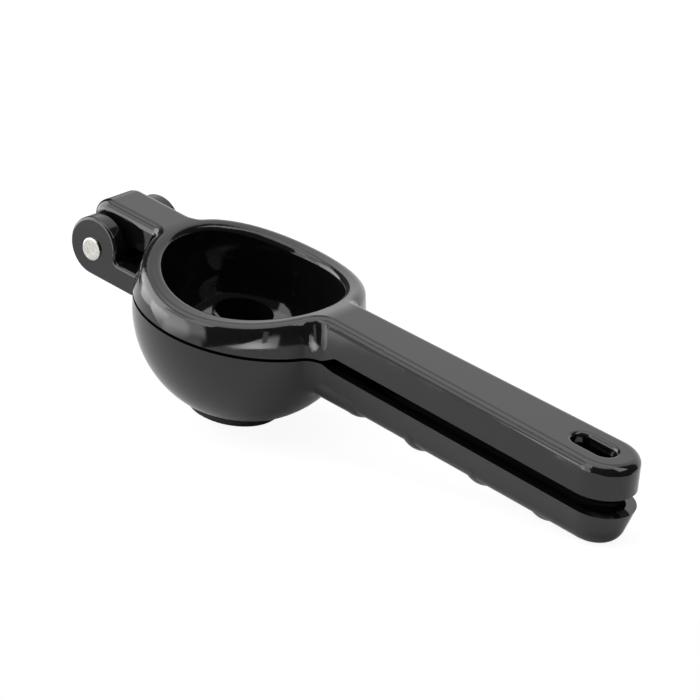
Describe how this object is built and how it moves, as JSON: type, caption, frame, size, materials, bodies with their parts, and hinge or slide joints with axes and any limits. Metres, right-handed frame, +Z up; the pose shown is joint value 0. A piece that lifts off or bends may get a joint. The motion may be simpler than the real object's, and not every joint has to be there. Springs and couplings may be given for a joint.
{
  "type": "hinged lemon squeezer",
  "caption": "Hinged hand squeezer for lemons: a cupped lower lever and a domed press lever in gloss plastic, joined by a steel pin across one end.",
  "frame": {"origin": "middle of the footprint on the table, under the closed squeezer as it rests on the foot of its skirt and on its last finger ridge", "axes": "+X from the hinge towards the handle ends, along the table; +Y across the squeezer, along the hinge pin; +Z up"},
  "size_m": [0.2034, 0.07, 0.0595],
  "materials": {
    "press_plastic": "moulded, glossy",
    "cup_plastic": "moulded, glossy",
    "pin_steel": "satin, faintly scratched"
  },
  "bodies": {
    "cup": {"cup_lever": "cup_plastic", "hinge_pin": "pin_steel"},
    "press": {"press_lever": "press_plastic"}
  },
  "joints": [
    {"name": "lever_hinge", "type": "hinge", "parent": "cup", "child": "press", "pos_m": [-0.09263, 0, 0.04631], "axis": [0, -1, 0], "range_deg": [0, 110]}
  ]
}
